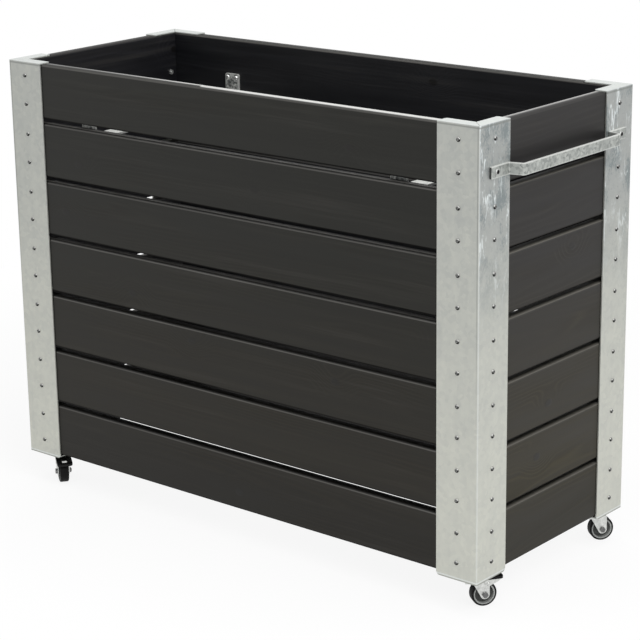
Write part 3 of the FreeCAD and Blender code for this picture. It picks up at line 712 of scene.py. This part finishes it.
class MouldedWheel(Moulded):
    """A dark web between a pale rim and hub, by the distance from the wheel's axle."""

    def __init__(self, spin):
        super().__init__(spin["child"] + "_plastic", web_plastic, roughness=0.38)
        out = self.node("ShaderNodeVectorMath", {"operation": "SUBTRACT"},
                        {0: self.place, 1: spin["pos_m"]})
        square_out = self.node("ShaderNodeVectorMath", {"operation": "CROSS_PRODUCT"},
                               {0: out, 1: spin["axis"]})
        radius = self.node("ShaderNodeVectorMath", {"operation": "LENGTH"}, {0: square_out},
                           output="Value")
        rim = self.ramp(radius, rim_inner_radius - rim_edge, rim_inner_radius + rim_edge)
        hub_full, hub_end = hub_fillet
        hub = 1.0 - self.ramp(radius, hub_radius - hub_full, hub_radius - hub_end)
        self.cover(rim.reckon("MAXIMUM", hub), rim_plastic)
        self.give({"Base Color": self.colour})


caster_zinc = PlatedZinc("caster_zinc", roughness=0.26).tinted(plated_steel)
axle_zinc = PlatedZinc("axle_zinc", roughness=0.24).tinted(axle_steel)
tyre_black = Moulded("tyre_black", tyre_rubber, roughness=0.50)
pedal_black = Moulded("pedal_black", pedal_plastic, roughness=0.34)
dress(caster_zinc, ["caster_top_plates"])
for corner in corners:
    dress(caster_zinc, ["caster_%s_fork" % corner])
    dress(axle_zinc, ["caster_%s_axle" % corner])
    dress(tyre_black, ["caster_%s_tyre" % corner])
for corner in ("front_left", "front_right"):
    dress(caster_zinc, ["caster_%s_brake_lever" % corner])
    dress(pedal_black, ["caster_%s_brake_pedal" % corner])
for joint in frame["joints"]:
    if joint["name"].endswith("wheel_spin"):
        dress(MouldedWheel(joint), ["caster_%s" % joint["child"]])


# ---- screws and bolts -----------------------------------------------------------------
# Dome-headed wood screws, two to a board end, go through the posts and the upturned ends
# of the ties.  Socket-headed bolts with hexagon nuts hold the handles and caster plates.
# All are zinc-plated.  Shade is painted on the lower sides of the screws' heads and in the
# sockets of the bolts and tie screws; light is painted on the nuts, the tie screws and the
# recesses of the post screws.
screw_inset = 0.0465
screw_spacing = 0.0596
tie_screw_margin = 0.008
tie_screw_spacing = 0.024
plate_thickness = 0.0025
swivel_inset = 0.046
plate_hole_spacing = 0.041
screw_taper = 4.0           # a screw is at full thickness a quarter of the way from its tip
dome_share = 0.86           # a head's sides follow this much of a dome, up to a flat crown
recess_spread = 1.01        # the recess is told by faces within so many of its radii
recess_levels = (0.05, 0.97)           # and between these shares of the head's height
sharp_angle = math.radians(38)


class FastenerTree(NodeTree):
    """Geometry nodes that stand one fastener, made along +Z, on each seat."""

    def __init__(self, name, numbers, materials):
        super().__init__(bpy.data.node_groups.new(name, "GeometryNodeTree"))
        sockets = self.tree.interface
        sockets.new_socket("Seats", in_out="INPUT", socket_type="NodeSocketGeometry")
        for number in numbers:
            sockets.new_socket(number, in_out="INPUT", socket_type="NodeSocketFloat")
        for material in materials:
            sockets.new_socket(material, in_out="INPUT", socket_type="NodeSocketMaterial")
        sockets.new_socket("Fasteners", in_out="OUTPUT", socket_type="NodeSocketGeometry")
        start = self.tree.nodes.new("NodeGroupInput")
        self.given = {socket.name: Quantity(self, socket) for socket in start.outputs}

    def stem(self, low, high, stops, radius, outline):
        """A closed solid along Z whose outline swells by radius, from low to high."""
        base = self.node("ShaderNodeCombineXYZ", None, {2: low})
        top = self.node("ShaderNodeCombineXYZ", None, {2: high})
        line = self.node("GeometryNodeCurvePrimitiveLine", None, {"Start": base, "End": top})
        line = self.node("GeometryNodeResampleCurve", None, {"Curve": line, "Count": stops})
        return self.node("GeometryNodeCurveToMesh", None,
                         {"Curve": line, "Profile Curve": outline, "Scale": radius,
                          "Fill Caps": True})

    def ring(self, sides):
        return self.node("GeometryNodeCurvePrimitiveCircle", None,
                         {"Resolution": sides, "Radius": 1.0})

    def socketed_head(self, sides, stops, lobes, lobe_depth):
        """A dome with a lobed recess in its flat crown, and a mark on the recess."""
        radius = self.given["Head radius"]
        height = self.given["Head height"]
        recess = self.given["Recess radius"]
        climb = self.node("GeometryNodeSplineParameter")
        dome_radius = radius * (1.0 - (climb * dome_share) ** 2.0).reckon("SQRT")
        dome = self.stem(0.0, height, stops, dome_radius, self.ring(sides))
        star = self.node("GeometryNodeCurveStar", None,
                         {"Points": lobes, "Inner Radius": lobe_depth, "Outer Radius": 1.0})
        floor_level = height - self.given["Recess depth"]
        cutter = self.stem(floor_level, height * 1.5, 2, recess, star)
        head = self.node("GeometryNodeMeshBoolean",
                         {"operation": "DIFFERENCE", "solver": "EXACT"},
                         {"Mesh 1": dome, "Mesh 2": cutter})
        place = self.node("GeometryNodeInputPosition")
        parts = self.node("ShaderNodeSeparateXYZ", None, {0: place}).socket.node.outputs
        x, y, level = [Quantity(self, part) for part in parts]
        inside = ((x ** 2.0 + y ** 2.0) ** 0.5).reckon("LESS_THAN", recess * recess_spread)
        lowest, highest = recess_levels
        above_seat = level.reckon("GREATER_THAN", height * lowest)
        below_crown = level.reckon("LESS_THAN", height * highest)
        return self.node("GeometryNodeStoreNamedAttribute",
                         {"data_type": "FLOAT", "domain": "FACE"},
                         {"Geometry": head, "Name": "recessed",
                          "Value": inside * below_crown * above_seat})

    def stand(self, pieces, seed):
        """Join the pieces, stand them on the seats and give them their materials."""
        joined = self.tree.nodes.new("GeometryNodeJoinGeometry")
        for piece in pieces:
            self.tree.links.new(piece.socket, joined.inputs[0])
        solid = Quantity(self, joined.outputs[0])
        solid = self.node("GeometryNodeSetShadeSmooth", {"domain": "FACE"},
                          {"Geometry": solid, "Shade Smooth": True})
        bend = self.node("GeometryNodeInputMeshEdgeAngle")
        sharp = bend.reckon("GREATER_THAN", sharp_angle)
        solid = self.node("GeometryNodeSetShadeSmooth", {"domain": "EDGE"},
                          {"Geometry": solid, "Selection": sharp, "Shade Smooth": False})
        outward = self.node("GeometryNodeInputNamedAttribute", {"data_type": "FLOAT_VECTOR"},
                            {"Name": "outward"})
        aligned = self.node("FunctionNodeAlignRotationToVector", {"axis": "Z"},
                            {"Vector": outward})
        spin = self.node("FunctionNodeRandomValue", {"data_type": "FLOAT"},
                         {2: 0.0, 3: 2 * math.pi, "Seed": seed}, output=1)
        spin = self.node("FunctionNodeAxisAngleToRotation", None, {"Angle": spin})
        turned = self.node("FunctionNodeRotateRotation", {"rotation_space": "LOCAL"},
                           {"Rotation": aligned, "Rotate By": spin})
        placed = self.node("GeometryNodeInstanceOnPoints", None,
                           {"Points": self.given["Seats"], "Instance": solid,
                            "Rotation": turned})
        placed = self.node("GeometryNodeRealizeInstances", None, {"Geometry": placed})
        faces = self.node("GeometryNodeInputNormal")
        upward = self.node("ShaderNodeSeparateXYZ", None, {0: faces}, output=2)
        placed = self.node("GeometryNodeStoreNamedAttribute",
                           {"data_type": "FLOAT", "domain": "POINT"},
                           {"Geometry": placed, "Name": "upward", "Value": upward})
        placed = self.node("GeometryNodeSetMaterial", None,
                           {"Geometry": placed, "Material": self.given["Plating"]})
        for mark, material in (("recessed", "Recess"), ("nut", "Nut")):
            if material in self.given:
                marked = self.node("GeometryNodeInputNamedAttribute",
                                   {"data_type": "FLOAT"}, {"Name": mark}, output=0)
                placed = self.node("GeometryNodeSetMaterial", None,
                                   {"Geometry": placed, "Selection": marked,
                                    "Material": self.given[material]})
        end = self.tree.nodes.new("NodeGroupOutput")
        self.plug(end.inputs["Fasteners"], placed)


def fasten(name, seats, fasteners, given, replaced=()):
    """A piece with one fastener on each seat, given as (place, outward)."""
    mesh = bpy.data.meshes.new(name)
    mesh.from_pydata([place for place, outward in seats], [], [])
    directions = mesh.attributes.new("outward", "FLOAT_VECTOR", "POINT")
    for entry, (place, outward) in zip(directions.data, seats):
        entry.vector = outward
    piece = bpy.data.objects.new(name, mesh)
    bpy.context.scene.collection.objects.link(piece)
    modifier = piece.modifiers.new("fasteners", "NODES")
    modifier.node_group = fasteners.tree
    for item in fasteners.tree.interface.items_tree:
        if item.name in given:
            modifier[item.identifier] = given[item.name]
    placed = piece.evaluated_get(bpy.context.evaluated_depsgraph_get())
    piece.data = bpy.data.meshes.new_from_object(placed)
    piece.modifiers.clear()
    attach(piece, "frame")
    if replaced:
        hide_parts(*replaced)
    return piece


shade_turn = (-0.30, 0.75)  # painted shade turns to steel as a face turns upwards
screw_underside_shade = (0.012, 0.012, 0.012, 1.0)
screw_steel = (0.360, 0.360, 0.350, 1.0)
bolt_steel = (0.400, 0.410, 0.400)
painted_light_steel = (0.800, 0.810, 0.790)
socket_shade = (0.006, 0.006, 0.006, 1.0)
screw_zinc = PlatedZinc("screw_zinc", roughness=0.20)
upward = screw_zinc.node("ShaderNodeAttribute", {"attribute_name": "upward"}, output="Fac")
screw_zinc.give({"Base Color": screw_zinc.blend(screw_zinc.ramp(upward, *shade_turn),
                                                screw_underside_shade, screw_steel)})
bolt_zinc = PlatedZinc("bolt_zinc", roughness=0.36, metallic=0.6).tinted(bolt_steel)
# painted light: lighter plating for the nuts and tie screws, which stand in shade
nut_zinc = PlatedZinc("nut_zinc", roughness=0.30).tinted(painted_light_steel)
# painted shade in the sockets of the bolts and tie screws
socket_shade_finish = Finish("socket_grease", {"Base Color": socket_shade, "Roughness": 0.6})
fastener_sizes = ["Head radius", "Head height", "Recess radius", "Recess depth",
                  "Shank radius", "Length"]
fastener_materials = ["Plating", "Recess"]
nut_sizes = ["Grip", "Nut flats", "Nut height"]

wood_screw_tree = FastenerTree("wood_screw", fastener_sizes, fastener_materials)
shank_radius = wood_screw_tree.given["Shank radius"]
from_tip = wood_screw_tree.node("GeometryNodeSplineParameter") * screw_taper
shank = wood_screw_tree.stem(-1.0 * wood_screw_tree.given["Length"], 0.0, 5,
                             shank_radius * from_tip.reckon("MINIMUM", 1.0),
                             wood_screw_tree.ring(6))
wood_screw_head = wood_screw_tree.socketed_head(sides=14, stops=5, lobes=6, lobe_depth=0.66)
wood_screw_tree.stand([wood_screw_head, shank], seed=11)

bolt_tree = FastenerTree("bolt", fastener_sizes + nut_sizes, fastener_materials + ["Nut"])
grip = bolt_tree.given["Grip"]
nut_height = bolt_tree.given["Nut height"]
bolt_shank = bolt_tree.stem(-1.0 * bolt_tree.given["Length"], 0.0, 2,
                            bolt_tree.given["Shank radius"], bolt_tree.ring(10))
nut = bolt_tree.stem(-1.0 * grip - nut_height, -1.0 * grip, 2,
                     bolt_tree.given["Nut flats"] / math.sqrt(3), bolt_tree.ring(6))
nut = bolt_tree.node("GeometryNodeStoreNamedAttribute",
                     {"data_type": "FLOAT", "domain": "FACE"},
                     {"Geometry": nut, "Name": "nut", "Value": 1.0})
bolt_head = bolt_tree.socketed_head(sides=18, stops=6, lobes=3, lobe_depth=1.0)
bolt_tree.stand([bolt_head, bolt_shank, nut], seed=12)

screw_levels = []
for board_number in range(board_count):
    middle = boards_top - board_height / 2 - board_number * board_pitch
    screw_levels += [middle + screw_spacing / 2, middle - screw_spacing / 2]
screw_seats = []
tie_screw_seats = []
handle_bolt_seats = []
caster_bolt_seats = []
for side_x, side_y in corners.values():
    for level in screw_levels:
        place = (side_x * (post_high.x - screw_inset), side_y * post_high.y, level)
        screw_seats.append((place, (0, side_y, 0)))
        if abs(level - handle_level) > (handle_high.z - handle_low.z) / 2:
            place = (side_x * post_high.x, side_y * (post_high.y - screw_inset), level)
            screw_seats.append((place, (side_x, 0, 0)))
    for offset in (-tie_screw_spacing / 2, tie_screw_spacing / 2):
        place = (side_x * (tie_low.x + tie_high.x) / 2 + offset,
                 side_y * (tie_high.y - bar_thickness), tie_high.z - tie_screw_margin)
        tie_screw_seats.append((place, (0, -side_y, 0)))
    place = (side_x * (post_high.x + bar_thickness), side_y * (post_high.y - screw_inset),
             handle_level)
    handle_bolt_seats.append((place, (side_x, 0, 0)))
    for step_x, step_y in corners.values():
        place = (side_x * (post_high.x - swivel_inset) + step_x * plate_hole_spacing / 2,
                 side_y * (post_high.y - swivel_inset) + step_y * plate_hole_spacing / 2,
                 post_low.z - plate_thickness)
        caster_bolt_seats.append((place, (0, 0, -1)))

# the post screws' recesses take the bolts' lighter plating as a painted glint
screw_materials = {"Plating": screw_zinc.material, "Recess": bolt_zinc.material}
tie_screw_materials = {"Plating": nut_zinc.material, "Recess": socket_shade_finish.material}
bolt_materials = {"Plating": bolt_zinc.material, "Recess": socket_shade_finish.material,
                  "Nut": nut_zinc.material}
screw_sizes = {"Head radius": 0.0045, "Head height": 0.0024, "Recess radius": 0.0019,
               "Recess depth": 0.0014, "Shank radius": 0.002, "Length": 0.022}
bolt_sizes = {"Head radius": 0.0055, "Head height": 0.0030, "Recess radius": 0.0036,
              "Recess depth": 0.0020, "Shank radius": 0.003, "Nut flats": 0.010,
              "Nut height": 0.0032}
post_screws = fasten("post_screws", screw_seats, wood_screw_tree,
                     screw_sizes | screw_materials, ["wood_screws"])
tie_screws = fasten("tie_screws", tie_screw_seats, wood_screw_tree,
                    screw_sizes | tie_screw_materials)
handle_grip = {"Grip": 0.0325, "Length": 0.0367}
handle_bolts = fasten("handle_bolts", handle_bolt_seats, bolt_tree,
                      bolt_sizes | bolt_materials | handle_grip, ["frame_bolts"])
caster_grip = {"Grip": 0.005, "Length": 0.0092}
caster_bolts = fasten("caster_bolts", caster_bolt_seats, bolt_tree,
                      bolt_sizes | bolt_materials | caster_grip)


# ---- studio ---------------------------------------------------------------------------
# A white floor out to the horizon under a plain white sky, with one large soft lamp
# overhead and another high on the right.  The floor keeps the planter's soft shadow.
floor_reach = 60.0
floor_white = (0.95, 0.95, 0.95, 1.0)
floor_glow = 0.88           # how much of the floor is plain white to the eye near by
glow_start = 1.0            # from here outwards it grows, to plain white at its end
glow_end = 2.2
sky_level = 0.45            # the sky's light on things; it is plain white to the eye
white = (1.0, 1.0, 1.0, 1.0)


def shown_to_eye(tree):
    """1 for what the camera sees, by itself or in metal, and 0 for what lights the object."""
    path = tree.node("ShaderNodeLightPath").socket.node.outputs
    direct = Quantity(tree, path["Is Camera Ray"])
    mirrored = Quantity(tree, path["Is Glossy Ray"])
    through = Quantity(tree, path["Is Transmission Ray"])
    return (direct + mirrored + through).reckon("MINIMUM", 1.0)


floor_mesh = bpy.data.meshes.new("studio_floor")
floor_corners = [(-floor_reach, -floor_reach, 0), (floor_reach, -floor_reach, 0),
                 (floor_reach, floor_reach, 0), (-floor_reach, floor_reach, 0)]
floor_mesh.from_pydata(floor_corners, [], [(0, 1, 2, 3)])
floor = bpy.data.objects.new("studio_floor", floor_mesh)
bpy.context.scene.collection.objects.link(floor)
floor_paint = Finish("studio_white", {"Base Color": floor_white, "Roughness": 0.9,
                                      "Specular IOR Level": 0.0})
seen = shown_to_eye(floor_paint)
glow = floor_paint.node("ShaderNodeEmission", None, {"Color": white, "Strength": 1.0})
paint_out = Quantity(floor_paint, floor_paint.shader.outputs[0])
floor_x, floor_y = floor_paint.axes()[:2]
far_off = floor_paint.ramp((floor_x ** 2.0 + floor_y ** 2.0) ** 0.5, glow_start, glow_end)
shown = floor_paint.node("ShaderNodeMixShader", None,
                         {0: seen * (far_off * (1.0 - floor_glow) + floor_glow),
                          1: paint_out, 2: glow})
material_end = floor_paint.tree.nodes["Material Output"]
floor_paint.plug(material_end.inputs["Surface"], shown)
floor_mesh.materials.append(floor_paint.material)

sky = bpy.data.worlds.new("studio_sky")
sky.use_nodes = True
bpy.context.scene.world = sky
sky_tree = NodeTree(sky.node_tree)
plain = shown_to_eye(sky_tree)
backdrop = sky.node_tree.nodes["Background"]
sky_tree.plug(backdrop.inputs["Color"], white)
sky_tree.plug(backdrop.inputs["Strength"], plain * (1.0 - sky_level) + sky_level)


def soft_lamp(name, width, depth, watts, place, aim):
    lamp = bpy.data.lights.new(name, "AREA")
    lamp.shape = "RECTANGLE"
    lamp.size = width
    lamp.size_y = depth
    lamp.energy = watts
    lamp_object = bpy.data.objects.new(name, lamp)
    lamp_object.location = place
    toward = Vector(aim) - Vector(place)
    lamp_object.rotation_euler = toward.to_track_quat("-Z", "Y").to_euler()
    bpy.context.scene.collection.objects.link(lamp_object)


soft_lamp("lamp_overhead", width=3.6, depth=3.0, watts=85.0, place=(0.3, -0.2, 4.2),
          aim=(0.3, -0.2, 0.0))
soft_lamp("lamp_right", width=3.0, depth=2.2, watts=95.0, place=(3.2, -1.6, 3.2),
          aim=(0.0, 0.0, 0.45))


# ---- camera ---------------------------------------------------------------------------
# Eye height of a person standing well back from the front right corner, with a long lens.
camera_place = (2.6817, -3.1763, 1.6551)
camera_turn = 0.6968        # about the vertical, from looking along +Y
camera_dip = 0.2904         # below the horizon
camera_roll = -0.0146
sensor_width = 36.0
focal_length_px = 2105.99
frame_px = 640

camera = bpy.data.cameras.new("camera")
camera.sensor_width = sensor_width
camera.lens = focal_length_px / frame_px * sensor_width
camera_object = bpy.data.objects.new("camera", camera)
turn = Matrix.Rotation(camera_turn, 4, "Z")
dip = Matrix.Rotation(math.pi / 2 - camera_dip, 4, "X")
roll = Matrix.Rotation(camera_roll, 4, "Z")
camera_object.matrix_world = Matrix.Translation(camera_place) @ turn @ dip @ roll
bpy.context.scene.collection.objects.link(camera_object)
bpy.context.scene.camera = camera_object
bpy.context.scene.view_settings.view_transform = "Standard"
